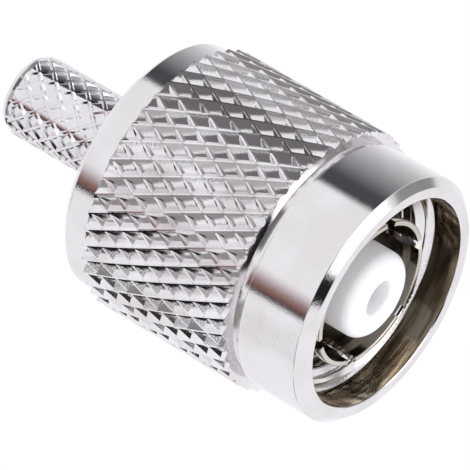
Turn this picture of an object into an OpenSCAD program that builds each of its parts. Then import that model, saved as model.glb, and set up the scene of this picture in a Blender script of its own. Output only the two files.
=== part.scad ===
// Straight crimp coaxial connector with a threaded coupling nut, lengths in mm.
// It stands on the mouth of its nut: z = 0 is the front face, +Z runs to the cable end.

/* [Coupling nut] */
// Length of the nut from its front face to its rear edge
nut_len = 15.8; // [14:0.1:20]
// Diameter of the smooth ring at the mouth
ring_d = 14.0; // [13.6:0.05:15]
// Length of the smooth ring, with its chamfer
ring_len = 4.06; // [3:0.02:5]
// Diameter of the narrow neck behind the ring
neck_d = 13.3; // [13:0.05:13.5]
// Length of the neck
neck_len = 0.61; // [0.4:0.01:1]
// Diameter over the ridges of the knurl
knurl_d = 14.93; // [14.6:0.01:16]
// Depth of the pockets between the ridges
knurl_deep = 0.34; // [0.2:0.01:0.5]
// Ridges of each hand around the nut
knurl_starts = 46; // [36:1:56]
// Length along the axis from one crossing of ridges to the next column's crossing
knurl_step = 1.0; // [0.8:0.05:1.4]
// Bevel at each end of the knurl
knurl_bevel = 0.15; // [0.1:0.01:0.3]
// Angle of the knurl's first crossing from +X, in degrees
knurl_turn = 2.23; // [0:0.01:7.8]
// Share of each pocket that is flat floor
pocket_floor = 0.62; // [0.4:0.01:0.75]
// Diameter of the smooth band at the rear
rear_d = 14.1; // [13.8:0.05:14.6]
// Length of the rear band, with its chamfer
rear_len = 1.67; // [1.2:0.01:2.5]
// Width of the fine groove between the knurl and the rear band
rear_groove = 0.1; // [0.05:0.01:0.3]
// Edge chamfer at the rear
rear_edge = 0.33; // [0.2:0.01:0.5]
// Edge chamfer at the front
front_edge = 0.42; // [0.2:0.01:0.5]

/* [Mouth and thread] */
// Diameter of the plain counterbore in the mouth
mouth_d = 11.92; // [11.8:0.02:12.4]
// Depth of the counterbore
mouth_deep = 1.75; // [1:0.05:2.5]
// Diameter inside the crests of the coupling thread
thread_minor_d = 10.2; // [10:0.02:10.6]
// Depth at which the thread ends
thread_end = 7.1; // [6:0.1:7.5]
// Diameter of the clearance space behind the thread
relief_d = 11.5; // [11.2:0.1:12]

/* [Body] */
// Depth of the front face of the body's flange
flange_z = 8.6; // [8.2:0.1:9.5]
// Thickness of the flange
flange_t = 1.6; // [1.2:0.1:2]
// Diameter of the flange
flange_d = 10.5; // [10:0.1:10.9]
// Diameter of the hub on which the nut turns
hub_d = 8.6; // [8.2:0.05:9]
// Length of hub that stands out behind the nut
hub_out = 0.6; // [0.3:0.1:1]
// Diameter of the crimp stem
stem_d = 2.5; // [2.3:0.05:2.7]
// Length of the crimp stem behind the hub
stem_len = 6.4; // [5:0.1:7]
// Bore of the crimp stem, for the cable's dielectric
stem_bore_d = 1.64; // [1.5:0.02:1.8]
// Grooves around the crimp stem
stem_grooves = 6; // [3:1:8]

/* [Retaining ring] */
// Wire thickness along the axis
clip_t = 0.8; // [0.6:0.05:1]
// Height of the ring's front face
clip_z = 12.4; // [11.8:0.1:13]
// Outside diameter of the sprung ring
clip_d = 9.5; // [9.2:0.05:10]
// Gap between the ends of the ring
clip_gap = 1.6; // [1:0.1:3]

/* [Outer contact] */
// Diameter of the contact sleeve
sleeve_d = 8.1; // [8:0.02:8.2]
// Wall of the contact sleeve
sleeve_wall = 0.3; // [0.25:0.01:0.35]
// Swell of the lip at the tip, on the radius
sleeve_lip = 0.12; // [0.05:0.01:0.2]
// Depth of the tip behind the nut's front face
sleeve_tip_z = 1.07; // [0.9:0.01:1.5]
// Slots in the sleeve
slot_count = 6; // [4:1:8]
// Width of a slot
slot_w = 0.65; // [0.3:0.05:0.8]
// Length of a slot
slot_len = 5.2; // [4:0.1:5.6]

/* [Insulators] */
// Diameter of the front insulator
nose_d = 4.88; // [4.6:0.02:5]
// Depth of the front insulator's face
nose_z = 0.45; // [0.3:0.01:1]
// Rounding of the front insulator's edge
nose_round = 0.7; // [0.4:0.05:1]
// Diameter of the hole through the insulators
hole_d = 1.94; // [1.9:0.02:2.1]
// Rounding of the hole's edge
hole_round = 0.22; // [0.1:0.02:0.4]
// Diameter of the rear insulator
rear_ins_d = 4.4; // [4:0.1:4.8]
// Thickness of the rear insulator's wall behind the contact
rear_wall = 0.6; // [0.4:0.05:1]
// Hole in that wall, for the cable's inner conductor
rear_hole_d = 1.0; // [0.8:0.05:1.2]

/* [Centre contact] */
// Bore of the socket, for the mating pin
socket_bore_d = 1.38; // [1.34:0.01:1.42]
// Depth of the socket's front end
socket_z = 2.2; // [1.6:0.1:3]
// Depth of the socket's bore
socket_deep = 4.2; // [3.5:0.1:5]
// Width of the socket's spring slots
socket_slot = 0.18; // [0.1:0.01:0.3]
// Bore at the rear, for the cable's inner conductor
conductor_d = 0.56; // [0.5:0.02:0.7]
// Depth of that bore
conductor_deep = 2.6; // [1.5:0.1:4]

/* [Sealing gasket] */
// Thickness of the gasket
gasket_t = 1.1; // [0.9:0.05:1.2]
// Outside diameter of the gasket
gasket_d = 10.3; // [9.8:0.05:10.6]

/* [Crimp ferrule] */
// Length of the ferrule
ferrule_len = 7.68; // [7:0.02:9]
// Diameter over the ridges of the ferrule's knurl
ferrule_d = 4.56; // [4.4:0.02:4.9]
// Diameter of the plain band at the end
ferrule_end_d = 4.26; // [4.2:0.02:4.3]
// Bore of the ferrule
ferrule_bore_d = 3.36; // [3.3:0.02:3.5]
// Length of the plain band at each end
ferrule_band = 0.5; // [0.4:0.05:1]
// Ridges of each hand around the ferrule
ferrule_starts = 14; // [10:1:18]
// Length along the axis from one crossing of ridges to the next column's crossing
ferrule_step = 0.568; // [0.45:0.01:0.7]

/* [Clearances] */
// Running clearance between the nut and the hub, on the radius
run_gap = 0.06; // [0.03:0.01:0.09]
// Seating clearance between fixed pieces, on the radius
seat_gap = 0.02; // [0.01:0.005:0.04]
// Clearance between the ferrule and its seat, on the radius
slide_gap = 0.05; // [0.03:0.01:0.09]

/* [Hidden] */
$fn = 96;
eps = 0.01;
// Nut
knurl_z0 = ring_len + neck_len;
rear_z0 = nut_len - rear_len;
knurl_z1 = rear_z0 - rear_groove;
cone_end = mouth_deep + (mouth_d - thread_minor_d) / 2 * 0.6;
// Body and what it holds
flange_end = flange_z + flange_t;
hub_end = nut_len + hub_out;
nut_bore_d = hub_d + 2 * run_gap;
clip_in_d = clip_d - 2 * 1.0;
clip_seat_d = clip_in_d - 2 * seat_gap;
clip_room_d = clip_d + 0.4;
socket_r = hole_d / 2 - seat_gap;
sleeve_base = flange_z + 1.0;
sleeve_in_d = sleeve_d - 2 * sleeve_wall;
collar_d = sleeve_in_d - 2 * seat_gap;
collar_z = flange_z - 0.8;
ins_joint = flange_end + 1.3;
ins_seat_d = sleeve_in_d - 0.8;
rear_seat_d = rear_ins_d + 2 * seat_gap;
rear_end = hub_end - 1.6;
contact_end = rear_end - rear_wall;
// Stem and ferrule
seat_d = ferrule_bore_d - 2 * slide_gap;
seat_len = 0.7;
stem_end = hub_end + stem_len;
ferrule_end = hub_end + ferrule_len;
metal = [0.82, 0.81, 0.80];
white = [0.95, 0.95, 0.94];

// Rounded corner in a turned profile, from angle a0 to a1 about [cx, cy]
function corner(cx, cy, r, a0, a1, n = 8) =
  [for (i = [0:n]) let (a = a0 + (a1 - a0) * i / n) [cx + r * cos(a), cy + r * sin(a)]];

// Knurl
// Ridges of both hands cross at equal steps, and each pocket has sloping walls and a flat floor.
// Columns are half a pitch apart; row i crosses on even columns if i is even, else on odd ones.
function around(r, column, z, starts) = let (a = 180 * column / starts) [r * cos(a), r * sin(a), z];

module knurl_ring(z0, z1, r_in, r_root, r_crest, starts, step, bevel, floor_share) {
  s = starts;
  m = max(2, round((z1 - z0 - 2 * bevel) / step));
  dz = (z1 - z0 - 2 * bevel) / m;
  f = floor_share;
  zr = [for (i = [0:m]) z0 + bevel + i * dz];
  odd = m % 2;
  // Point lists: crossings, left and right floor corners, upper and lower floor corners, end rings
  crossings = [for (i = [0:m], k = [0:s - 1]) around(r_crest, 2 * k + i % 2, zr[i], s)];
  lefts = [for (i = [0:m], k = [0:s - 1]) around(r_root, 2 * k + (i + 1) % 2 - f, zr[i], s)];
  rights = [for (i = [0:m], k = [0:s - 1]) around(r_root, 2 * k + (i + 1) % 2 + f, zr[i], s)];
  uppers = [for (i = [0:m], k = [0:s - 1])
    around(r_root, 2 * k + (i + 1) % 2, zr[i] + (i < m ? f * dz : 0), s)];
  lowers = [for (i = [0:m], k = [0:s - 1])
    around(r_root, 2 * k + (i + 1) % 2, zr[i] - (i > 0 ? f * dz : 0), s)];
  low_ring = [for (k = [0:s - 1], c = [0, 1 - f, 1 + f]) around(r_root, 2 * k + c, z0, s)];
  top_ring = [for (k = [0:s - 1], c = [0, 1 - f, 1 + f]) around(r_root, 2 * k + odd + c, z1, s)];
  low_in = [for (k = [0:s - 1]) around(r_in, 2 * k, z0, s)];
  top_in = [for (k = [0:s - 1]) around(r_in, 2 * k + odd, z1, s)];
  points = concat(crossings, lefts, rights, uppers, lowers, low_ring, top_ring, low_in, top_in);
  n = (m + 1) * s;
  function cr(i, k) = i * s + (k + s) % s;
  function lf(i, k) = n + i * s + (k + s) % s;
  function rt(i, k) = 2 * n + i * s + (k + s) % s;
  function up(i, k) = 3 * n + i * s + (k + s) % s;
  function lo(i, k) = 4 * n + i * s + (k + s) % s;
  function low(k, c) = 5 * n + ((3 * k + c) + 3 * s) % (3 * s);
  function top(k, c) = 5 * n + 3 * s + ((3 * k + c) + 3 * s) % (3 * s);
  function lin(k) = 5 * n + 6 * s + (k + s) % s;
  function tin(k) = 5 * n + 7 * s + (k + s) % s;
  // A pocket's corners: left and right crossings stand a column away on its own row
  function at_left(i, k) = i % 2 == 0 ? cr(i, k) : cr(i, k - 1);
  function at_right(i, k) = i % 2 == 0 ? cr(i, k + 1) : cr(i, k);
  walls = [for (i = [0:m], k = [0:s - 1]) each concat(
    i < m ? [[cr(i + 1, k), at_left(i, k), lf(i, k)], [cr(i + 1, k), lf(i, k), up(i, k)],
      [at_right(i, k), cr(i + 1, k), up(i, k)], [at_right(i, k), up(i, k), rt(i, k)]] : [],
    i > 0 ? [[at_left(i, k), cr(i - 1, k), lo(i, k)], [at_left(i, k), lo(i, k), lf(i, k)],
      [cr(i - 1, k), at_right(i, k), rt(i, k)], [cr(i - 1, k), rt(i, k), lo(i, k)]] : [])];
  floors = [for (i = [0:m], k = [0:s - 1]) each (
    i == 0 ? [[up(i, k), lf(i, k), rt(i, k)]] :
    i == m ? [[lf(i, k), lo(i, k), rt(i, k)]] :
    [[up(i, k), lf(i, k), lo(i, k)], [up(i, k), lo(i, k), rt(i, k)]])];
  low_strip = [for (k = [0:s - 1]) each [
    [low(k, 0), low(k, 1), lf(0, k)], [low(k, 0), lf(0, k), cr(0, k)],
    [low(k, 1), low(k, 2), rt(0, k), lf(0, k)],
    [low(k, 2), low(k + 1, 0), cr(0, k + 1)], [low(k, 2), cr(0, k + 1), rt(0, k)]]];
  // Crossing k of the top row is followed by pocket k + odd
  top_strip = [for (k = [0:s - 1]) each [
    [cr(m, k), lf(m, k + odd), top(k, 1)], [cr(m, k), top(k, 1), top(k, 0)],
    [lf(m, k + odd), rt(m, k + odd), top(k, 2), top(k, 1)],
    [rt(m, k + odd), cr(m, k + 1), top(k + 1, 0)], [rt(m, k + odd), top(k + 1, 0), top(k, 2)]]];
  low_face = [for (k = [0:s - 1])
    [low(k, 0), lin(k), lin(k + 1), low(k + 1, 0), low(k, 2), low(k, 1)]];
  top_face = [for (k = [0:s - 1])
    [top(k, 0), top(k, 1), top(k, 2), top(k + 1, 0), tin(k + 1), tin(k)]];
  inside = [for (k = [0:s - 1]) each (odd == 1 ?
    [[lin(k), tin(k), lin(k + 1)], [tin(k - 1), tin(k), lin(k)]] :
    [[lin(k), tin(k), tin(k + 1), lin(k + 1)]])];
  faces = concat(walls, floors, low_strip, top_strip, low_face, top_face, inside);
  polyhedron(points = points, faces = [for (t = faces) [for (j = [len(t) - 1:-1:0]) t[j]]],
    convexity = 10);
}

// Coupling nut
module coupling_nut() {
  color(metal) union() {
    rotate_extrude() polygon([
      [mouth_d / 2 + 0.05, 0], [ring_d / 2 - front_edge, 0], [ring_d / 2, front_edge],
      [ring_d / 2, ring_len], [neck_d / 2, ring_len],
      [neck_d / 2, knurl_z0 + 0.3], [neck_d / 2 + 0.2, knurl_z0 + 0.4],
      [neck_d / 2 + 0.2, rear_z0],
      [rear_d / 2, rear_z0], [rear_d / 2, nut_len - rear_edge], [rear_d / 2 - rear_edge, nut_len],
      [nut_bore_d / 2 + 0.2, nut_len], [nut_bore_d / 2, nut_len - 0.2],
      [nut_bore_d / 2, clip_z + clip_t + 0.1], [clip_room_d / 2, clip_z + clip_t + 0.1],
      [clip_room_d / 2, clip_z], [nut_bore_d / 2, clip_z],
      [nut_bore_d / 2, flange_end + 0.05], [relief_d / 2, flange_end + 0.05],
      [relief_d / 2, thread_end + 0.3], [thread_minor_d / 2, thread_end],
      [thread_minor_d / 2, cone_end], [mouth_d / 2, mouth_deep], [mouth_d / 2, 0.05]]);
    rotate(knurl_turn) knurl_ring(knurl_z0, knurl_z1, neck_d / 2 - 0.1, knurl_d / 2 - knurl_deep, knurl_d / 2,
      knurl_starts, knurl_step, knurl_bevel, pocket_floor);
  }
}

// Connector body
module connector_body() {
  pitch = (stem_len - seat_len - 0.9) / stem_grooves;
  grooves = [for (i = [0:stem_grooves - 1]) let (z = hub_end + seat_len + 0.3 + i * pitch)
    each [[stem_d / 2, z], [stem_d / 2 - 0.12, z + 0.02], [stem_d / 2 - 0.12, z + pitch * 0.35],
      [stem_d / 2, z + pitch * 0.6]]];
  color(metal) rotate_extrude() polygon(concat([
    [sleeve_d / 2 + seat_gap, flange_z], [flange_d / 2 - 0.2, flange_z],
    [flange_d / 2, flange_z + 0.2], [flange_d / 2, flange_end], [hub_d / 2, flange_end],
    [hub_d / 2, clip_z], [clip_seat_d / 2, clip_z], [clip_seat_d / 2, clip_z + clip_t],
    [hub_d / 2, clip_z + clip_t], [hub_d / 2, hub_end - 0.35], [hub_d / 2 - 0.35, hub_end],
    [seat_d / 2, hub_end], [seat_d / 2, hub_end + seat_len - 0.1],
    [seat_d / 2 - 0.1, hub_end + seat_len], [stem_d / 2, hub_end + seat_len]], grooves, [
    [stem_d / 2, stem_end - 0.35], [stem_d / 2 - 0.15, stem_end], [stem_bore_d / 2, stem_end],
    [stem_bore_d / 2, rear_end], [rear_seat_d / 2, rear_end], [rear_seat_d / 2, ins_joint],
    [ins_seat_d / 2 + seat_gap, ins_joint], [ins_seat_d / 2 + seat_gap, sleeve_base],
    [sleeve_d / 2 + seat_gap, sleeve_base]]));
}

// Outer contact
module outer_contact() {
  r = sleeve_d / 2;
  ri = sleeve_in_d / 2;
  z = sleeve_tip_z;
  color(metal) difference() {
    rotate_extrude() polygon([
      [ri + sleeve_lip, z], [r + sleeve_lip - 0.08, z], [r + sleeve_lip, z + 0.08],
      [r + sleeve_lip, z + 0.4], [r, z + 0.75], [r, sleeve_base], [ri, sleeve_base],
      [ri, z + 0.9], [ri + sleeve_lip, z + 0.5]]);
    for (i = [0:slot_count - 1]) rotate(360 / slot_count * (i + 0.5))
      translate([0, -slot_w / 2, z - eps]) cube([sleeve_d, slot_w, slot_len + eps]);
  }
}

// Front insulator
module front_insulator() {
  r = nose_d / 2;
  h = hole_d / 2;
  color(white) rotate_extrude() polygon(concat(
    corner(h + hole_round, nose_z + hole_round, hole_round, 180, 270, 6),
    corner(r - nose_round, nose_z + nose_round, nose_round, 270, 360, 10),
    [[r, collar_z], [collar_d / 2, collar_z], [collar_d / 2, sleeve_base],
      [ins_seat_d / 2, sleeve_base], [ins_seat_d / 2, ins_joint], [h, ins_joint]]));
}

// Rear insulator
module rear_insulator() {
  color(white) rotate_extrude() polygon([
    [hole_d / 2, ins_joint], [rear_ins_d / 2, ins_joint], [rear_ins_d / 2, rear_end - 0.15],
    [rear_ins_d / 2 - 0.15, rear_end], [rear_hole_d / 2, rear_end],
    [rear_hole_d / 2, contact_end], [hole_d / 2, contact_end]]);
}

// Centre contact
module centre_contact() {
  b = socket_bore_d / 2;
  z = socket_z;
  e = contact_end;
  color([0.86, 0.68, 0.30]) difference() {
    rotate_extrude() polygon([
      [b + 0.1, z], [socket_r - 0.08, z], [socket_r, z + 0.12], [socket_r, e],
      [conductor_d / 2, e], [conductor_d / 2, e - conductor_deep],
      [0, e - conductor_deep - 0.2],
      [0, z + socket_deep + 0.3], [b, z + socket_deep], [b, z + 0.15]]);
    for (i = [0:1]) rotate(90 * i + 45)
      translate([-hole_d, -socket_slot / 2, z - eps])
        cube([2 * hole_d, socket_slot, socket_deep - socket_r + eps]);
  }
}

// Sealing gasket
module sealing_gasket() {
  color([0.70, 0.35, 0.28]) rotate_extrude() polygon([
    [sleeve_d / 2 + seat_gap, flange_z - gasket_t], [gasket_d / 2 - 0.1, flange_z - gasket_t],
    [gasket_d / 2, flange_z - gasket_t + 0.1], [gasket_d / 2, flange_z],
    [sleeve_d / 2 + seat_gap, flange_z]]);
}

// Retaining ring
module retaining_ring() {
  color([0.75, 0.72, 0.62]) difference() {
    rotate_extrude() polygon([
      [clip_in_d / 2, clip_z], [clip_d / 2 - 0.1, clip_z], [clip_d / 2, clip_z + 0.1],
      [clip_d / 2, clip_z + clip_t - 0.1], [clip_d / 2 - 0.1, clip_z + clip_t],
      [clip_in_d / 2, clip_z + clip_t]]);
    translate([0, -clip_gap / 2, clip_z - 1]) cube([clip_d, clip_gap, clip_t + 2]);
  }
}

// Crimp ferrule
module crimp_ferrule() {
  re = ferrule_end_d / 2;
  rb = ferrule_bore_d / 2;
  core = re - 0.06;
  z0 = hub_end;
  z1 = ferrule_end;
  color(metal) union() {
    rotate_extrude() polygon(concat([
      [rb, z0 + 0.15], [rb + 0.15, z0], [re - 0.12, z0], [re, z0 + 0.12],
      [re, z0 + ferrule_band - 0.01], [core, z0 + ferrule_band], [core, z1 - ferrule_band],
      [re, z1 - ferrule_band + 0.01]], corner(re - 0.2, z1 - 0.2, 0.2, 0, 90, 5),
      [[rb + 0.12, z1], [rb, z1 - 0.12]]));
    knurl_ring(z0 + ferrule_band + 0.03, z1 - ferrule_band - 0.03, core - 0.08, re - 0.01,
      ferrule_d / 2, ferrule_starts, ferrule_step, 0.1, pocket_floor + 0.06);
  }
}

coupling_nut();
connector_body();
outer_contact();
front_insulator();
rear_insulator();
centre_contact();
sealing_gasket();
retaining_ring();
crimp_ferrule();
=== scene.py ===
# Coaxial connector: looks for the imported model, in metres, standing on its mouth.
import bpy, bmesh, math
from mathutils import Matrix, Vector


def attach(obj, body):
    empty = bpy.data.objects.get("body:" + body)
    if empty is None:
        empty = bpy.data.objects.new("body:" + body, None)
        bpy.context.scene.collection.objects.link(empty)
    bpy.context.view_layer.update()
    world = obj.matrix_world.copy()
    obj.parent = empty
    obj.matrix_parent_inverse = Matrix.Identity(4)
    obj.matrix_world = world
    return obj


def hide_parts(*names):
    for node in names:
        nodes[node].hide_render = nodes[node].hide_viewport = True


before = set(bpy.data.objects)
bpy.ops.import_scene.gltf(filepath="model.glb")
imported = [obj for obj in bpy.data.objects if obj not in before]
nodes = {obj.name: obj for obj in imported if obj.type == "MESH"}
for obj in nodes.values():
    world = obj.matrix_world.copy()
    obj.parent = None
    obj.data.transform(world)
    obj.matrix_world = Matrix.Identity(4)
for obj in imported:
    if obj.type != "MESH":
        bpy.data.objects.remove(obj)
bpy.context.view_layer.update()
mm = 0.001
perMm = 1000.0  # texture scale that gives one feature to the millimetre
print("frame loaded:", ", ".join(sorted(nodes)))


# Small helpers

def linear(hexColour):  # sRGB hex to linear RGBA
    channels = [int(hexColour[i:i + 2], 16) / 255 for i in (1, 3, 5)]
    return [c / 12.92 if c <= 0.04045 else ((c + 0.055) / 1.055) ** 2.4 for c in channels] + [1.0]


def addNode(tree, kind, links=None, **settings):  # one node, its settings, and its inputs by name or index
    node = tree.nodes.new(kind)
    for key, value in settings.items():
        setattr(node, key, value)
    for key, value in (links or {}).items():
        if isinstance(value, bpy.types.NodeSocket):
            tree.links.new(value, node.inputs[key])
        else:
            node.inputs[key].default_value = value
    return node


def calc(tree, operation, a, b=0.0, c=0.0):  # one maths step, giving its result
    return addNode(tree, "ShaderNodeMath", {0: a, 1: b, 2: c}, operation=operation).outputs[0]


def meshObject(name, bm, material):
    mesh = bpy.data.meshes.new(name)
    bm.to_mesh(mesh)
    bm.free()
    mesh.materials.append(material)
    mesh.shade_smooth()
    thing = bpy.data.objects.new(name, mesh)
    bpy.context.collection.objects.link(thing)
    return thing


def paint(thing, material, wanted):  # a second material on the faces whose centres are wanted; here it paints shade into the bores
    thing.data.materials.append(material)
    place = len(thing.data.materials) - 1
    for face in thing.data.polygons:
        if wanted(face.center):
            face.material_index = place


# Turned profiles: each corner is (radius, z, fillet) in mm

def filleted(corners, steps=4, support=0.02):
    almostStraight = math.radians(88)
    points = []
    for i, (r, z, fillet) in enumerate(corners):
        here = Vector((r, z))
        before = Vector(corners[i - 1][:2]) - here
        after = Vector(corners[(i + 1) % len(corners)][:2]) - here
        a, b = before.normalized(), after.normalized()
        half = max(0.02, math.acos(max(-1, min(1, a.dot(b)))) / 2)
        if fillet <= 0 or half > almostStraight:
            points.append(here)
            continue
        reach = min(fillet / math.tan(half), before.length * 0.48, after.length * 0.48)
        radius = reach * math.tan(half)
        centre = here + (a + b).normalized() * (radius / math.sin(half))
        start, end = here + a * reach - centre, here + b * reach - centre
        turn = math.atan2(start.x * end.y - start.y * end.x, start.dot(end))
        if before.length - reach > 3 * support:
            points.append(here + a * (reach + support))  # keeps the flat beside it flat in shading
        for k in range(steps + 1):
            angle = turn * k / steps
            points.append(centre + Vector((start.x * math.cos(angle) - start.y * math.sin(angle),
                                           start.x * math.sin(angle) + start.y * math.cos(angle))))
        if after.length - reach > 3 * support:
            points.append(here + b * (reach + support))
    return points


def turned(name, corners, material, steps, filletSteps=4, sector=None):
    # All the way round the axis, or only from one angle to another
    outline = filleted(corners, filletSteps)
    bm = bmesh.new()
    first, last = sector or (0.0, 2 * math.pi)
    rings = []
    for k in range(steps + (1 if sector else 0)):
        angle = first + (last - first) * k / steps
        rings.append([bm.verts.new((p.x * mm * math.cos(angle), p.x * mm * math.sin(angle), p.y * mm))
                      for p in outline])
    for k in range(steps):
        one, two = rings[k], rings[(k + 1) % len(rings)]
        for i in range(len(outline)):
            j = (i + 1) % len(outline)
            bm.faces.new((one[i], two[i], two[j], one[j]))
    if sector:
        bm.faces.new(rings[0])
        bm.faces.new(list(reversed(rings[-1])))
    bmesh.ops.remove_doubles(bm, verts=bm.verts, dist=1e-8)
    bmesh.ops.recalc_face_normals(bm, faces=bm.faces)
    for face in bm.faces:
        if len(face.verts) > 4:  # the flat cut at either end of a sector
            for edge in face.edges:
                edge.smooth = False
    return meshObject(name, bm, material)


# Materials

def newMaterial(name):
    material = bpy.data.materials.new(name)
    material.use_nodes = True
    tree = material.node_tree
    return material, tree, tree.nodes["Principled BSDF"]


def platedMetal(name, colour, roughness, peel, stain, turnedLines=0.0, grainPerMm=9.0):
    # Bright plate over turned metal: a mirror with a faint orange peel, cloudy where the plate is thinner.
    # Turning lines are some 30 to the millimetre. They are drawn coarser, so that they show.
    cloudPerMm, linesPerMm, peelHeight = 0.42, 2.6, 0.01
    coarse = turnedLines > 0.4
    material, tree, shader = newMaterial(name)
    place = addNode(tree, "ShaderNodeTexCoord").outputs["Object"]
    shader.inputs["Metallic"].default_value = 1.0
    drawn = addNode(tree, "ShaderNodeVectorMath", {0: place, 1: (1, 1, 12 if coarse else 1)},
                    operation="MULTIPLY").outputs[0]  # coarsely turned faces have streaks round the axis
    noise = addNode(tree, "ShaderNodeTexNoise", {"Vector": drawn, "Scale": cloudPerMm * perMm, "Detail": 3.0})
    cloud = addNode(tree, "ShaderNodeMapRange", {0: noise.outputs[0], 1: 0.38, 2: 0.62, 3: 0.0, 4: 1.0})
    haze = addNode(tree, "ShaderNodeMapRange", {0: cloud.outputs[0], 1: 0.0, 2: 1.0,
                                                3: roughness * 0.8, 4: roughness * 1.35})
    tree.links.new(haze.outputs[0], shader.inputs["Roughness"])
    tint = addNode(tree, "ShaderNodeMix", {0: cloud.outputs[0], 6: linear(colour),
                                           7: linear(stain)}, data_type="RGBA")
    tree.links.new(tint.outputs[2], shader.inputs["Base Color"])
    grain = addNode(tree, "ShaderNodeTexNoise", {"Vector": place, "Scale": grainPerMm * perMm, "Detail": 4.0})
    height = grain.outputs[0]
    if turnedLines:
        rings = addNode(tree, "ShaderNodeTexWave", {"Vector": place, "Scale": linesPerMm * perMm,
                                                    "Distortion": 0.6, "Detail": 2.0, "Detail Scale": 0.2},
                        wave_type="BANDS", bands_direction="Z")
        height = calc(tree, "MULTIPLY_ADD", rings.outputs[1], turnedLines, height)
    bump = addNode(tree, "ShaderNodeBump", {"Strength": peel, "Distance": peelHeight * mm, "Height": height})
    tree.links.new(bump.outputs[0], shader.inputs["Normal"])
    return material


def fluoropolymer():
    # Machined PTFE: dense matte white, light scatters a little below the surface.
    # Tool marks are some 10 to the millimetre. They are drawn coarser, so that they show.
    cloudPerMm, toolMarksPerMm, markHeight, scatterDepth = 0.9, 1.7, 0.01, 0.6
    material, tree, shader = newMaterial("machinedPtfe")
    place = addNode(tree, "ShaderNodeTexCoord").outputs["Object"]
    cloud = addNode(tree, "ShaderNodeTexNoise", {"Vector": place, "Scale": cloudPerMm * perMm, "Detail": 4.0})
    tint = addNode(tree, "ShaderNodeMix", {0: cloud.outputs[0], 6: linear("#F6F6F8"),
                                           7: linear("#EFF1F6")}, data_type="RGBA")
    tree.links.new(tint.outputs[2], shader.inputs["Base Color"])
    shader.inputs["Roughness"].default_value = 0.42
    shader.inputs["IOR"].default_value = 1.36
    shader.inputs["Subsurface Weight"].default_value = 0.35
    shader.inputs["Subsurface Radius"].default_value = (0.8, 0.8, 0.8)
    shader.inputs["Subsurface Scale"].default_value = scatterDepth * mm
    rings = addNode(tree, "ShaderNodeTexWave", {"Vector": place, "Scale": toolMarksPerMm * perMm,
                                                "Distortion": 0.4}, wave_type="BANDS", bands_direction="Z")
    bump = addNode(tree, "ShaderNodeBump", {"Strength": 0.08, "Distance": markHeight * mm,
                                            "Height": rings.outputs[1]})
    tree.links.new(bump.outputs[0], shader.inputs["Normal"])
    return material


def siliconeRubber():
    # Moulded silicone: matte red, slightly dusty
    dustPerMm, dustHeight = 1.5, 0.02
    material, tree, shader = newMaterial("mouldedSilicone")
    place = addNode(tree, "ShaderNodeTexCoord").outputs["Object"]
    dust = addNode(tree, "ShaderNodeTexNoise", {"Vector": place, "Scale": dustPerMm * perMm, "Detail": 5.0})
    tint = addNode(tree, "ShaderNodeMix", {0: dust.outputs[0], 6: linear("#8E3A28"),
                                           7: linear("#A04A36")}, data_type="RGBA")
    tree.links.new(tint.outputs[2], shader.inputs["Base Color"])
    shader.inputs["Roughness"].default_value = 0.62
    shader.inputs["IOR"].default_value = 1.41
    bump = addNode(tree, "ShaderNodeBump", {"Strength": 0.2, "Distance": dustHeight * mm,
                                            "Height": dust.outputs[0]})
    tree.links.new(bump.outputs[0], shader.inputs["Normal"])
    return material


# Nickel: bright where it is polished or burnished. The knurl's copy is a little lighter, a painted highlight;
# the bores get darker, warmer copies, painted shade in the recesses
nutNickel = platedMetal("brightNickelNut", "#ECEAEB", 0.05, 0.34, "#E4E1E2", 0.1, 15.0)
# Painted highlight: the knurl's copy of the nut's nickel is a little lighter, so that its crests and ribs
# shine brighter
litKnurlNickel = platedMetal("nickelKnurlPaintedLighter", "#F1EFF1", 0.07, 0.45, "#E2DEDF", 0.0, 12.0)
bodyNickel = platedMetal("brightNickelBody", "#E2DFDD", 0.07, 0.12, "#D8D3D0", 0.3)
sleeveNickel = platedMetal("nickelSpringBrass", "#D9D4CC", 0.07, 0.12, "#C9C1B4", 0.2)
ferruleNickel = platedMetal("brightNickelFerrule", "#EAE8EA", 0.075, 0.12, "#E0DDDF")
# Painted shade: the next two are darker, warmer copies of the nickel for the mouth's counterbore and the
# inside of the sleeve
boreNickel = platedMetal("shadedWarmNickelBore", "#D6CAB4", 0.11, 0.14, "#857A69", 0.7)
sleeveBore = platedMetal("dullShadedNickelSleeve", "#B5AC9D", 0.18, 0.15, "#A0968A", 0.5)
contactGold = platedMetal("hardGoldContact", "#E2B45A", 0.12, 0.10, "#D2A049")  # warm and satin
clipBronze = platedMetal("springBronzeClip", "#B98C62", 0.25, 0.2, "#A67C55")  # bare strip, brown and dull
ptfe = fluoropolymer()
silicone = siliconeRubber()
print("materials made")


# Geometry Nodes shared by the repeats

def newTree(name, inputs):  # a tree with named inputs and one geometry output, and the inputs' sockets
    tree = bpy.data.node_groups.new(name, "GeometryNodeTree")
    for label, kind in inputs.items():
        tree.interface.new_socket(label, in_out="INPUT", socket_type="NodeSocket" + kind)
    tree.interface.new_socket("Geometry", in_out="OUTPUT", socket_type="NodeSocketGeometry")
    return tree, addNode(tree, "NodeGroupInput").outputs


def bake(name, tree, values):  # runs a tree on an empty mesh and keeps the result as a plain mesh
    carrier = bpy.data.objects.new(name + "Maker", bpy.data.meshes.new(name + "Maker"))
    bpy.context.collection.objects.link(carrier)
    modifier = carrier.modifiers.new(name, "NODES")
    modifier.node_group = tree
    for item in tree.interface.items_tree:
        if item.item_type == "SOCKET" and item.in_out == "INPUT" and item.name in values:
            modifier[item.identifier] = values[item.name]
    graph = bpy.context.evaluated_depsgraph_get()
    mesh = bpy.data.meshes.new_from_object(carrier.evaluated_get(graph))
    mesh.name = name
    piece = bpy.data.objects.new(name, mesh)
    bpy.context.collection.objects.link(piece)
    carrier.modifiers.clear()
    bpy.data.objects.remove(carrier)
    return piece


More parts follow.
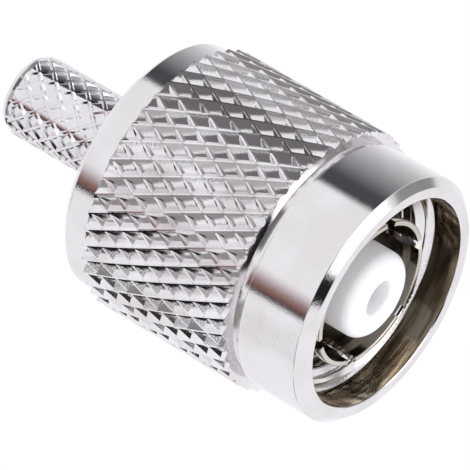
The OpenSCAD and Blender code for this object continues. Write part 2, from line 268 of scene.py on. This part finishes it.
def wrapTree(material):  # lays a flat pocket tile round a cylinder, row by row
    tree, given = newTree("wrapKnurl", {
        "Pocket": "Object", "Starts": "Int", "Rows": "Int", "Root radius": "Float", "First row": "Float",
        "Row step": "Float", "Turn": "Float"})
    index = addNode(tree, "GeometryNodeInputIndex").outputs[0]
    row = calc(tree, "FLOOR", calc(tree, "DIVIDE", calc(tree, "ADD", index, 0.5), given["Starts"]))
    column = calc(tree, "SUBTRACT", index, calc(tree, "MULTIPLY", row, given["Starts"]))
    odd = calc(tree, "MODULO", calc(tree, "ADD", row, 1.0), 2.0)
    flat = addNode(tree, "ShaderNodeCombineXYZ", {0: calc(tree, "MULTIPLY_ADD", column, 2.0, odd), 1: row})
    count = calc(tree, "MULTIPLY", given["Starts"], given["Rows"])
    spots = addNode(tree, "GeometryNodePoints", {"Count": count, "Position": flat.outputs[0]})
    pocket = addNode(tree, "GeometryNodeObjectInfo", {"Object": given["Pocket"]})
    copies = addNode(tree, "GeometryNodeInstanceOnPoints", {
        "Points": spots.outputs[0], "Instance": pocket.outputs["Geometry"]})
    real = addNode(tree, "GeometryNodeRealizeInstances", {"Geometry": copies.outputs[0]})
    place = addNode(tree, "ShaderNodeSeparateXYZ", {0: addNode(tree, "GeometryNodeInputPosition").outputs[0]})
    halfTurns = calc(tree, "DIVIDE", place.outputs[0], given["Starts"])
    angle = calc(tree, "MULTIPLY_ADD", halfTurns, math.pi, given["Turn"])
    height = calc(tree, "MULTIPLY_ADD", place.outputs[1], given["Row step"], given["First row"])
    radius = calc(tree, "ADD", given["Root radius"], place.outputs[2])
    where = addNode(tree, "ShaderNodeCombineXYZ", {
        0: calc(tree, "MULTIPLY", radius, calc(tree, "COSINE", angle)),
        1: calc(tree, "MULTIPLY", radius, calc(tree, "SINE", angle)), 2: height})
    bent = addNode(tree, "GeometryNodeSetPosition", {
        "Geometry": real.outputs[0], "Position": where.outputs[0]})
    welded = addNode(tree, "GeometryNodeMergeByDistance", {
        "Geometry": bent.outputs[0], "Distance": 0.002 * mm})
    painted = addNode(tree, "GeometryNodeSetMaterial", {"Geometry": welded.outputs[0], "Material": material})
    addNode(tree, "NodeGroupOutput", {0: painted.outputs[0]})
    return tree


def pocketTile(name, mainLines, ribLinesAt, heightAt):
    # One pocket between two main ridges and two ribs, flat: x in half columns, y in rows, z in metres.
    # A cell that isn't flat is folded along whichever diagonal follows the real crease.
    flatEnough = 0.004 * mm
    bm = bmesh.new()
    spots = [[(p, q) for q in ribLinesAt(p)] for p in mainLines]
    grid = [[bm.verts.new((p + q - 1, p - q, heightAt(p, q) * mm)) for p, q in line] for line in spots]
    for i in range(len(grid) - 1):
        for j in range(len(grid[0]) - 1):
            places = ((i, j), (i, j + 1), (i + 1, j + 1), (i + 1, j))
            a, b, c, d = [grid[u][v] for u, v in places]
            one, other = (a.co.z + c.co.z) / 2, (b.co.z + d.co.z) / 2
            middle = heightAt(*[sum(spots[u][v][k] for u, v in places) / 4 for k in (0, 1)]) * mm
            if abs(one - other) < flatEnough:
                bm.faces.new((a, b, c, d))
            elif abs(one - middle) < abs(other - middle):
                bm.faces.new((a, b, c))
                bm.faces.new((a, c, d))
            else:
                bm.faces.new((a, b, d))
                bm.faces.new((b, c, d))
    mesh = bpy.data.meshes.new(name)
    bm.to_mesh(mesh)
    bm.free()
    tile = bpy.data.objects.new(name, mesh)
    bpy.context.collection.objects.link(tile)
    return tile


def trimmed(piece, low, high, inner, crispAngle):  # cuts a knurl square at both ends and closes it inwards
    onPlane = 0.001 * mm
    bm = bmesh.new()
    bm.from_mesh(piece.data)
    for end, side in ((low * mm, -1), (high * mm, 1)):
        bmesh.ops.bisect_plane(bm, geom=bm.verts[:] + bm.edges[:] + bm.faces[:], dist=onPlane / 10,
                               plane_co=(0, 0, end), plane_no=(0, 0, side), clear_outer=True)
        rim = [e for e in bm.edges if e.is_boundary and all(abs(v.co.z - end) < onPlane for v in e.verts)]
        for made in bmesh.ops.extrude_edge_only(bm, edges=rim)["geom"]:
            if isinstance(made, bmesh.types.BMVert):
                shrink = inner * mm / math.hypot(made.co.x, made.co.y)
                made.co = (made.co.x * shrink, made.co.y * shrink, made.co.z)
    bmesh.ops.recalc_face_normals(bm, faces=bm.faces)
    for face in bm.faces:
        face.smooth = True
    for edge in bm.edges:
        edge.smooth = len(edge.link_faces) < 2 or edge.calc_face_angle() < crispAngle
    bm.to_mesh(piece.data)
    bm.free()


def symmetric(lines):  # lines up to the middle at 0.5, and their mirror images
    return lines + [1 - v for v in reversed(lines) if v < 0.5]


def ringTree(material):  # copies a piece evenly about the axis
    tree, given = newTree("ringOfPieces", {"Piece": "Object", "Count": "Int"})
    spots = addNode(tree, "GeometryNodePoints", {"Count": given["Count"]})
    index = addNode(tree, "GeometryNodeInputIndex").outputs[0]
    angle = calc(tree, "DIVIDE", calc(tree, "MULTIPLY", index, 2 * math.pi), given["Count"])
    spin = addNode(tree, "ShaderNodeCombineXYZ", {2: angle})
    piece = addNode(tree, "GeometryNodeObjectInfo", {"Object": given["Piece"]})
    copies = addNode(tree, "GeometryNodeInstanceOnPoints", {
        "Points": spots.outputs[0], "Instance": piece.outputs["Geometry"], "Rotation": spin.outputs[0]})
    real = addNode(tree, "GeometryNodeRealizeInstances", {"Geometry": copies.outputs[0]})
    painted = addNode(tree, "GeometryNodeSetMaterial", {"Geometry": real.outputs[0], "Material": material})
    addNode(tree, "NodeGroupOutput", {0: painted.outputs[0]})
    return tree


def threadTree(material):  # one helical surface from a flat grid, turn after turn
    tree, given = newTree("innerThread", {"Steps": "Int"} | {label: "Float" for label in (
        "Turns", "Pitch", "Start", "Low end", "High end", "Crest radius", "Root radius", "Mouth radius",
        "Mouth depth", "Cone slope")})
    sheet = addNode(tree, "GeometryNodeMeshGrid", {"Size X": 1.0, "Size Y": 1.0, "Vertices X": given["Steps"],
                                                   "Vertices Y": 27})
    place = addNode(tree, "ShaderNodeSeparateXYZ", {0: addNode(tree, "GeometryNodeInputPosition").outputs[0]})
    turns = calc(tree, "MULTIPLY", calc(tree, "ADD", place.outputs[0], 0.5), given["Turns"])
    across = calc(tree, "ADD", place.outputs[1], 0.5)
    angle = calc(tree, "MULTIPLY", turns, 2 * math.pi)
    height = calc(tree, "MULTIPLY_ADD", calc(tree, "ADD", turns, across), given["Pitch"], given["Start"])
    kept = calc(tree, "MINIMUM", calc(tree, "MAXIMUM", height, given["Low end"]), given["High end"])
    side = calc(tree, "MINIMUM", across, calc(tree, "SUBTRACT", 1.0, across))
    rise = addNode(tree, "ShaderNodeMapRange", {  # flat root, sloping flank, flat crest
        0: side, 1: 0.075, 2: 0.36, 3: 0.0, 4: 1.0}).outputs[0]
    depth = calc(tree, "SUBTRACT", given["Root radius"], given["Crest radius"])
    radius = calc(tree, "SUBTRACT", given["Root radius"], calc(tree, "MULTIPLY", rise, depth))
    cone = calc(tree, "SUBTRACT", given["Mouth radius"], calc(
        tree, "MULTIPLY", calc(tree, "SUBTRACT", kept, given["Mouth depth"]), given["Cone slope"]))
    radius = calc(tree, "MAXIMUM", radius, cone)
    where = addNode(tree, "ShaderNodeCombineXYZ", {
        0: calc(tree, "MULTIPLY", radius, calc(tree, "COSINE", angle)),
        1: calc(tree, "MULTIPLY", radius, calc(tree, "SINE", angle)), 2: kept})
    bent = addNode(tree, "GeometryNodeSetPosition", {
        "Geometry": sheet.outputs[0], "Position": where.outputs[0]})
    smooth = addNode(tree, "GeometryNodeSetShadeSmooth", {"Geometry": bent.outputs[0]})
    painted = addNode(tree, "GeometryNodeSetMaterial", {"Geometry": smooth.outputs[0], "Material": material})
    addNode(tree, "NodeGroupOutput", {0: painted.outputs[0]})
    return tree


# Coupling nut: turned shell, inner thread and knurl belt

nut = {
    "length": 15.8, "ringRadius": 7.0, "ringLength": 4.06, "frontEdge": 0.42, "neckRadius": 6.65,
    "beltRadius": 6.75, "backRadius": 6.85, "rearRadius": 7.05, "rearStart": 14.13, "rearEdge": 0.33,
    "mouthRadius": 5.96, "mouthDepth": 1.75, "reliefRadius": 5.75, "cavityEnd": 10.25, "boreRadius": 4.36,
    "clipLow": 12.4, "clipHigh": 13.3, "clipRadius": 4.95, "sides": 288,
}
thread = {
    "crestRadius": 5.10, "rootRadius": 5.56, "end": 7.1, "pitch": 0.907, "turns": 7.0, "lead": 0.75,
    "coneSlope": 1 / 0.6, "behind": 0.03, "steps": 901,
}
knurl = {
    "low": 4.67, "high": 14.03, "rootRadius": 7.157, "depth": 0.31, "starts": 46, "rows": 12,
    "firstRow": 3.91209, "rowStep": 1.00503, "turn": -6.03, "crest": 0.045, "foot": 0.35, "heel": 0.65,
    "heelHeight": 0.3, "ribHeight": 0.74, "ribCrest": 0.05, "ribSlope": 0.18, "crispAngle": 0.5,
}

mouth, ring, neck, rear = nut["mouthRadius"], nut["ringRadius"], nut["neckRadius"], nut["rearRadius"]
bore, nutEnd, relief, rearEdge = nut["boreRadius"], nut["length"], nut["reliefRadius"], nut["rearEdge"]
clip, clipLow, clipHigh = nut["clipRadius"], nut["clipLow"], nut["clipHigh"]
knurlLow, knurlHigh, threadEnd = knurl["low"], knurl["high"], thread["end"]
threadWall = thread["rootRadius"] + thread["behind"]
coneEnd = nut["mouthDepth"] + (mouth - thread["rootRadius"]) / thread["coneSlope"]
nutShell = turned("nutShell", [
    (mouth + 0.05, 0, 0.03), (ring - nut["frontEdge"], 0, 0.05), (ring, nut["frontEdge"], 0.06),
    (ring, nut["ringLength"], 0.05), (neck, nut["ringLength"], 0.03), (neck, knurlLow + 0.4, 0),
    (nut["beltRadius"], knurlLow + 0.5, 0), (nut["beltRadius"], knurlHigh - 0.2, 0),
    (nut["backRadius"], knurlHigh - 0.1, 0), (nut["backRadius"], nut["rearStart"], 0.02),
    (rear, nut["rearStart"], 0.05), (rear, nutEnd - rearEdge, 0.05), (rear - rearEdge, nutEnd, 0.05),
    (bore + 0.2, nutEnd, 0.03), (bore, nutEnd - 0.2, 0.03), (bore, clipHigh, 0), (clip, clipHigh, 0),
    (clip, clipLow, 0), (bore, clipLow, 0), (bore, nut["cavityEnd"], 0.03), (relief, nut["cavityEnd"], 0.1),
    (relief, threadEnd + 0.3, 0), (threadWall, threadEnd, 0), (threadWall, coneEnd - 0.02, 0),
    (mouth, nut["mouthDepth"], 0.03), (mouth, 0.05, 0.02)], nutNickel, nut["sides"])


def ridgeAt(p):  # across the main ridges: crest, flank, floor that rises gently, flank
    crest, foot, heel, heelHeight = knurl["crest"], knurl["foot"], knurl["heel"], knurl["heelHeight"]
    if p < foot:
        return min(1.0, (foot - p) / (foot - crest))
    if p < heel:
        return heelHeight * (p - foot) / (heel - foot)
    return min(1.0, heelHeight + (1 - heelHeight) * (p - heel) / (1 - crest - heel))


def ribEdge(p):  # where a rib's side meets what it stands on
    return min(0.45, max(0.02, knurl["ribSlope"] * (1 - ridgeAt(p) / knurl["ribHeight"]) + knurl["ribCrest"]))


def ribLines(p):
    return symmetric([0.0, knurl["ribCrest"], ribEdge(p)])


def nutHeight(p, q):
    side = (min(q, 1 - q) - knurl["ribCrest"]) / knurl["ribSlope"]
    return knurl["depth"] * max(ridgeAt(p), knurl["ribHeight"] * min(1.0, 1 - side), 0.0)


def mainLines():  # crests, where the ribs end on them, and both sides of the floor
    crest, foot, heel = knurl["crest"], knurl["foot"], knurl["heel"]
    ribHeight, heelHeight = knurl["ribHeight"], knurl["heelHeight"]
    ribLow = crest + (foot - crest) * (1 - ribHeight)
    ribHigh = heel + (1 - crest - heel) * (ribHeight - heelHeight) / (1 - heelHeight)
    return [0.0, crest, ribLow, foot, heel, ribHigh, 1 - crest, 1.0]


nutPocket = pocketTile("nutPocket", mainLines(), ribLines, nutHeight)
nutKnurl = bake("nutKnurl", wrapTree(litKnurlNickel), {
    "Pocket": nutPocket, "Starts": knurl["starts"], "Rows": knurl["rows"],
    "Root radius": knurl["rootRadius"] * mm, "First row": knurl["firstRow"] * mm,
    "Row step": knurl["rowStep"] * mm, "Turn": math.radians(knurl["turn"] + 180 / knurl["starts"])})
trimmed(nutKnurl, knurlLow, knurlHigh, neck - 0.04, knurl["crispAngle"])
nutThread = bake("nutThread", threadTree(nutNickel), {
    "Steps": thread["steps"], "Turns": thread["turns"], "Pitch": thread["pitch"] * mm,
    "Start": (nut["mouthDepth"] - thread["lead"]) * mm, "Low end": nut["mouthDepth"] * mm,
    "High end": threadEnd * mm, "Crest radius": thread["crestRadius"] * mm,
    "Root radius": thread["rootRadius"] * mm, "Mouth radius": mouth * mm,
    "Mouth depth": nut["mouthDepth"] * mm, "Cone slope": thread["coneSlope"]})
bpy.data.objects.remove(nutPocket)
for piece in (nutShell, nutKnurl, nutThread):
    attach(piece, "nut")
# Painted shade: the mouth's counterbore gets the darker, warmer bore nickel
paint(nutShell, boreNickel, lambda c: math.hypot(c.x, c.y) < (mouth + 0.02) * mm
      and 0.04 * mm < c.z < (nut["mouthDepth"] - 0.01) * mm)
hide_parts("coupling_nut")
print("coupling nut made:", len(nutKnurl.data.polygons), "knurl faces")


# Outer contact: six spring fingers on a tube

sleeve = {
    "radius": 4.05, "wall": 0.3, "tip": 1.07, "lip": 0.12, "lipLength": 0.42, "neckLength": 0.75, "base": 9.6,
    "slotEnd": 6.27, "fingers": 6, "slot": 0.65, "dullShadeRadius": 3.9, "dullShadeFrom": 1.6,
}
tip, sleeveOut, sleeveIn = sleeve["tip"], sleeve["radius"], sleeve["radius"] - sleeve["wall"]
lipOut, lipIn, fingerEnd = sleeveOut + sleeve["lip"], sleeveIn + sleeve["lip"], sleeve["slotEnd"] + 0.1
reach = math.pi / sleeve["fingers"] - math.asin(sleeve["slot"] / 2 / sleeveOut)  # half a finger's angle
finger = turned("finger", [
    (lipIn, tip, 0.06), (lipOut, tip, 0.07), (lipOut, tip + sleeve["lipLength"], 0.2),
    (sleeveOut, tip + sleeve["neckLength"], 0.3), (sleeveOut, fingerEnd, 0), (sleeveIn, fingerEnd, 0),
    (sleeveIn, tip + sleeve["neckLength"] + 0.2, 0.3), (lipIn, tip + sleeve["lipLength"] + 0.13, 0.2)],
    sleeveNickel, 26, sector=(-reach, reach))
fingers = bake("contactFingers", ringTree(sleeveNickel), {"Piece": finger, "Count": sleeve["fingers"]})
bpy.data.objects.remove(finger)
contactTube = turned("contactTube", [
    (sleeveIn, sleeve["slotEnd"], 0.02), (sleeveOut, sleeve["slotEnd"], 0.02),
    (sleeveOut, sleeve["base"], 0.02), (sleeveIn, sleeve["base"], 0.02)], sleeveNickel, 160)


def insideSleeve(c):
    return math.hypot(c.x, c.y) < sleeve["dullShadeRadius"] * mm and c.z > sleeve["dullShadeFrom"] * mm


for piece in (fingers, contactTube):
    # Painted shade: deeper than 1.6 mm inside the sleeve the nickel is darker, and rougher
    paint(piece, sleeveBore, insideSleeve)
    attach(piece, "connector")
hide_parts("outer_contact")
print("outer contact made")


# Front insulator

nose = {
    "radius": 2.44, "face": 0.45, "round": 0.7, "hole": 0.97, "holeRound": 0.3, "collarLow": 7.8,
    "collarRadius": 3.73, "base": 9.6, "footRadius": 3.35, "end": 11.5,
}
noseInsulator = turned("noseInsulator", [
    (nose["hole"], nose["face"], nose["holeRound"]), (nose["radius"], nose["face"], nose["round"]),
    (nose["radius"], nose["collarLow"], 0.1), (nose["collarRadius"], nose["collarLow"], 0.1),
    (nose["collarRadius"], nose["base"], 0.05), (nose["footRadius"], nose["base"], 0.05),
    (nose["footRadius"], nose["end"], 0.05), (nose["hole"], nose["end"], 0.05)], ptfe, 128, 10)
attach(noseInsulator, "connector")
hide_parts("front_insulator")
print("insulator made")


# Connector body, with the grooved stem

body = {
    "flangeLow": 8.6, "flangeHigh": 10.2, "flangeRadius": 5.25, "seatRadius": 4.07, "hubRadius": 4.3,
    "hubEnd": 16.4, "hubEdge": 0.35, "clipLow": 12.4, "clipHigh": 13.2, "clipRadius": 3.73,
    "pilotRadius": 1.63, "pilotLength": 0.7, "stemRadius": 1.25, "stemEnd": 22.8, "stemEdge": 0.15,
    "stemBore": 0.82, "grooves": 6, "grooveDepth": 0.12, "footRadius": 3.37, "rearRadius": 2.22,
    "rearEnd": 14.8,
}
hub, hubEnd, stemRadius, stemEnd = body["hubRadius"], body["hubEnd"], body["stemRadius"], body["stemEnd"]
groove, flange, flangeHigh = body["clipRadius"], body["flangeRadius"], body["flangeHigh"]
pilotEnd = hubEnd + body["pilotLength"]
groovePitch = (stemEnd - pilotEnd - 0.9) / body["grooves"]
stemLine = []
for i in range(body["grooves"]):
    z = pilotEnd + 0.3 + i * groovePitch
    root = stemRadius - body["grooveDepth"]
    stemLine += [(stemRadius, z, 0.03), (root, z + 0.02, 0.03), (root, z + groovePitch * 0.35, 0.03),
                 (stemRadius, z + groovePitch * 0.6, 0.03)]
connectorBody = turned("connectorBody", [
    (body["seatRadius"], body["flangeLow"], 0.03), (flange, body["flangeLow"], 0.2),
    (flange, flangeHigh, 0.05), (hub, flangeHigh, 0.03), (hub, body["clipLow"], 0),
    (groove, body["clipLow"], 0), (groove, body["clipHigh"], 0), (hub, body["clipHigh"], 0),
    (hub, hubEnd - body["hubEdge"], 0.05), (hub - body["hubEdge"], hubEnd, 0.05),
    (body["pilotRadius"], hubEnd, 0.04), (body["pilotRadius"], pilotEnd, 0.08), (stemRadius, pilotEnd, 0.04),
    *stemLine, (stemRadius, stemEnd - 0.35, 0.03), (stemRadius - body["stemEdge"], stemEnd, 0.03),
    (body["stemBore"], stemEnd, 0.03), (body["stemBore"], body["rearEnd"], 0),
    (body["rearRadius"], body["rearEnd"], 0), (body["rearRadius"], nose["end"], 0),
    (body["footRadius"], nose["end"], 0), (body["footRadius"], nose["base"], 0),
    (body["seatRadius"], nose["base"], 0)], bodyNickel, 192, 3)
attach(connectorBody, "connector")
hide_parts("connector_body")
print("body made")


# Crimp ferrule: tube and fine knurl

ferrule = {
    "low": 16.4, "high": 24.08, "bore": 1.68, "bandRadius": 2.13, "band": 0.52, "bandFall": 0.09,
    "coreRadius": 2.07, "knurlRoot": 2.165, "knurlDepth": 0.105, "starts": 14, "rows": 14, "firstRow": 16.302,
    "rowStep": 0.565, "turn": -6.04, "crest": 0.07, "flank": 0.11, "swell": 0.22, "crispAngle": 0.6,
}
band, core, bandFall = ferrule["bandRadius"], ferrule["coreRadius"], ferrule["bandFall"]
low, high, bandLow, bandHigh = (ferrule["low"], ferrule["high"], ferrule["low"] + ferrule["band"],
                                ferrule["high"] - ferrule["band"])
ferruleTube = turned("ferruleTube", [
    (ferrule["bore"], low, 0.12), (band, low, 0.1), (band, bandLow, 0.02), (core, bandLow + 0.05, 0),
    (core, bandHigh - 0.05, 0), (band - bandFall, bandHigh - 0.02, 0.02), (band, high - 0.26, 0.06),
    (band - bandFall, high - 0.05, 0.1), (band - 0.2, high, 0.1), (ferrule["bore"], high, 0.1)],
    ferruleNickel, 160, 6)


def ferruleHeight(p, q):  # thin equal ridges, square floors that swell a little
    ridge = max(1 - (min(v, 1 - v) - ferrule["crest"]) / ferrule["flank"] for v in (p, q))
    swell = ferrule["swell"] * (1 - ((p - 0.5) ** 2 + (q - 0.5) ** 2) / 0.11)
    return ferrule["knurlDepth"] * max(min(1.0, ridge), swell, 0.0)


def fineLines(p=0.0):  # the same lines both ways
    return symmetric([0.0, ferrule["crest"], ferrule["crest"] + ferrule["flank"], 0.5])


ferrulePocket = pocketTile("ferrulePocket", fineLines(), fineLines, ferruleHeight)
ferruleKnurl = bake("ferruleKnurl", wrapTree(ferruleNickel), {
    "Pocket": ferrulePocket, "Starts": ferrule["starts"], "Rows": ferrule["rows"],
    "Root radius": ferrule["knurlRoot"] * mm, "First row": ferrule["firstRow"] * mm,
    "Row step": ferrule["rowStep"] * mm, "Turn": math.radians(ferrule["turn"])})
trimmed(ferruleKnurl, bandLow, bandHigh, core - 0.02, ferrule["crispAngle"])
bpy.data.objects.remove(ferrulePocket)
for piece in (ferruleTube, ferruleKnurl):
    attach(piece, "ferrule")
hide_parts("crimp_ferrule")
print("ferrule made:", len(ferruleKnurl.data.polygons), "knurl faces")


# Pieces that keep their solids' meshes and get real finishes

for name, finish in (("rear_insulator", ptfe), ("centre_contact", contactGold),
                     ("sealing_gasket", silicone), ("retaining_ring", clipBronze)):
    for slot in nodes[name].material_slots:
        slot.material = finish
print("hidden pieces finished")


# Floor, seen from above only, so that the view from below looks into the mouth

def paleFloor():
    # Matte painted board, nearly white
    material, tree, shader = newMaterial("paleFloor")
    shader.inputs["Base Color"].default_value = linear("#F2F2F2")
    shader.inputs["Roughness"].default_value = 0.9
    path = addNode(tree, "ShaderNodeLightPath")
    side = addNode(tree, "ShaderNodeNewGeometry")
    seen = calc(tree, "MULTIPLY", path.outputs["Is Camera Ray"], calc(
        tree, "SUBTRACT", 1.0, side.outputs["Backfacing"]))
    clear = addNode(tree, "ShaderNodeBsdfTransparent")
    mixed = addNode(tree, "ShaderNodeMixShader", {0: seen, 1: clear.outputs[0], 2: shader.outputs[0]})
    tree.links.new(mixed.outputs[0], tree.nodes["Material Output"].inputs["Surface"])
    return material


stage = {"halfWidth": 0.9, "below": 0.03}  # metres, and mm under the nut's front face
sheet = bmesh.new()
bmesh.ops.create_grid(sheet, x_segments=1, y_segments=1, size=stage["halfWidth"])
bmesh.ops.translate(sheet, verts=sheet.verts, vec=(0, 0, -stage["below"] * mm))
meshObject("paleFloor", sheet, paleFloor())
print("floor made")


# Studio: a pale surround with soft-edged cards, by azimuth and elevation in degrees

surround = "#FCFBFF"
cards = [  # colour, azimuth span, soft edge on either side, elevation span, soft edge below and above
    ("#4E4E52", (63, 78), (1.5, 76), (20, 48), (4, 5)),  # tall grey card, fades away from the camera
    ("#9A9998", (100, 134), (3, 6), (-44, -16), (5, 5)),
    ("#8F6C67", (-45, -40), (1, 13), (14, 34), (6, 4)),  # warm card with a black edge
    ("#1E1A1B", (-49, -45.5), (1, 1), (14, 36), (6, 8)),
    ("#262425", (-44, 14), (4, 6), (-75, -36), (5, 4)),  # the camera's own dark side
    ("#262425", (-36, -12), (4, 5), (-38, -9), (4, 4)),
    ("#757275", (-14, 22), (5, 5), (-14, 13), (4, 3)),
    ("#8A8788", (62, 92), (4, 6), (-8, 5), (3, 3)),
    ("#BEBBBC", (-44, -24), (4, 5), (-9, 0), (4, 5)),
    ("#A6A3A4", (30, 62), (6, 10), (-16, -2), (8, 6)),
    ("#141112", (-128, -104), (3, 4), (-2, 18), (2, 3)),  # dark lines down the knurl's lower side
    ("#9C9897", (-90, -66), (6, 6), (-16, 22), (6, 4)),
    ("#141112", (-62, -49), (2, 2), (-16, -3), (2, 2)),
    ("#1F1B1C", (-78, -46), (5, 4), (33, 44), (2, 5)),
    ("#7F7C7C", (-40, -26), (6, 6), (62, 68), (3, 3)),
]


def softSpan(tree, value, span, soft):  # 1 within the span, falling to 0 over its soft edges
    rise = addNode(tree, "ShaderNodeMapRange", {0: value, 1: span[0] - soft[0], 2: span[0], 3: 0.0, 4: 1.0})
    fall = addNode(tree, "ShaderNodeMapRange", {0: value, 1: span[1] + soft[1], 2: span[1], 3: 0.0, 4: 1.0})
    return calc(tree, "MULTIPLY", rise.outputs[0], fall.outputs[0])


def paleStudio():  # the cards show in reflections, and the camera sees plain white
    world = bpy.data.worlds.new("paleStudio")
    world.use_nodes = True
    tree = world.node_tree
    place = addNode(tree, "ShaderNodeTexCoord").outputs["Generated"]
    x, y, z = addNode(tree, "ShaderNodeSeparateXYZ", {0: place}).outputs
    azimuth = calc(tree, "DEGREES", calc(tree, "ARCTAN2", x, calc(tree, "MULTIPLY", y, -1.0)))
    elevation = calc(tree, "DEGREES", calc(tree, "ARCSINE", z))
    shade = linear(surround)
    for colour, across, acrossSoft, up, upSoft in cards:
        mask = calc(tree, "MULTIPLY", softSpan(tree, azimuth, across, acrossSoft),
                    softSpan(tree, elevation, up, upSoft))
        shade = addNode(tree, "ShaderNodeMix", {0: mask, 6: shade, 7: linear(colour)},
                        data_type="RGBA").outputs[2]
    path = addNode(tree, "ShaderNodeLightPath")
    studio = addNode(tree, "ShaderNodeBackground", {"Color": shade, "Strength": 1.0})
    white = addNode(tree, "ShaderNodeBackground", {"Color": (1, 1, 1, 1), "Strength": 1.0})
    both = addNode(tree, "ShaderNodeMixShader", {0: path.outputs["Is Camera Ray"], 1: studio.outputs[0],
                                                 2: white.outputs[0]})
    tree.links.new(both.outputs[0], tree.nodes["World Output"].inputs["Surface"])
    return world


bpy.context.scene.world = paleStudio()
lamps = {  # azimuth and elevation in degrees, watts, size in metres
    "mouthLight": (52, -54, 0.22, 0.22),
    "mouthFill": (-50, -45, 0.30, 0.25),
}
lampDistance = 0.25
lampAim = Vector((0, 0, 8 * mm))
for name, (azimuth, elevation, watts, size) in lamps.items():
    light = bpy.data.lights.new(name, "AREA")
    light.energy = watts
    light.size = size
    lamp = bpy.data.objects.new(name, light)
    a, e = math.radians(azimuth), math.radians(elevation)
    away = Vector((math.sin(a) * math.cos(e), -math.cos(a) * math.cos(e), math.sin(e)))
    lamp.location = lampAim + away * lampDistance
    lamp.rotation_mode = "QUATERNION"
    lamp.rotation_quaternion = away.to_track_quat("Z", "Y")
    lamp.visible_glossy = name != "mouthFill"  # the fill brightens the white insulator only
    bpy.context.collection.objects.link(lamp)
print("studio made")


# Camera at the photo's angle: it looks up into the mouth

view = {  # the fitted camera's axes, its place in mm, and its sensor and lens in mm
    "right": (0.50813, 0.38939, -0.76823), "up": (0.86128, -0.22973, 0.45323),
    "forward": (0.0, 0.89196, 0.45211), "place": (-0.936, -395.40, -190.96),
    "sensor": 36.0, "lens": 663.37, "near": 10.0, "far": 10000.0,
}
camera = bpy.data.objects.new("photoCamera", bpy.data.cameras.new("photoCamera"))
bpy.context.collection.objects.link(camera)
camera.data.sensor_width = view["sensor"]
camera.data.lens = view["lens"]
camera.data.clip_start = view["near"] * mm
camera.data.clip_end = view["far"] * mm
facing = Matrix((view["right"], view["up"], -Vector(view["forward"]))).transposed()
camera.rotation_mode = "QUATERNION"
camera.rotation_quaternion = facing.to_quaternion()
camera.location = Vector(view["place"]) * mm
bpy.context.scene.camera = camera
bpy.context.scene.view_settings.view_transform = "Standard"
print("camera set")
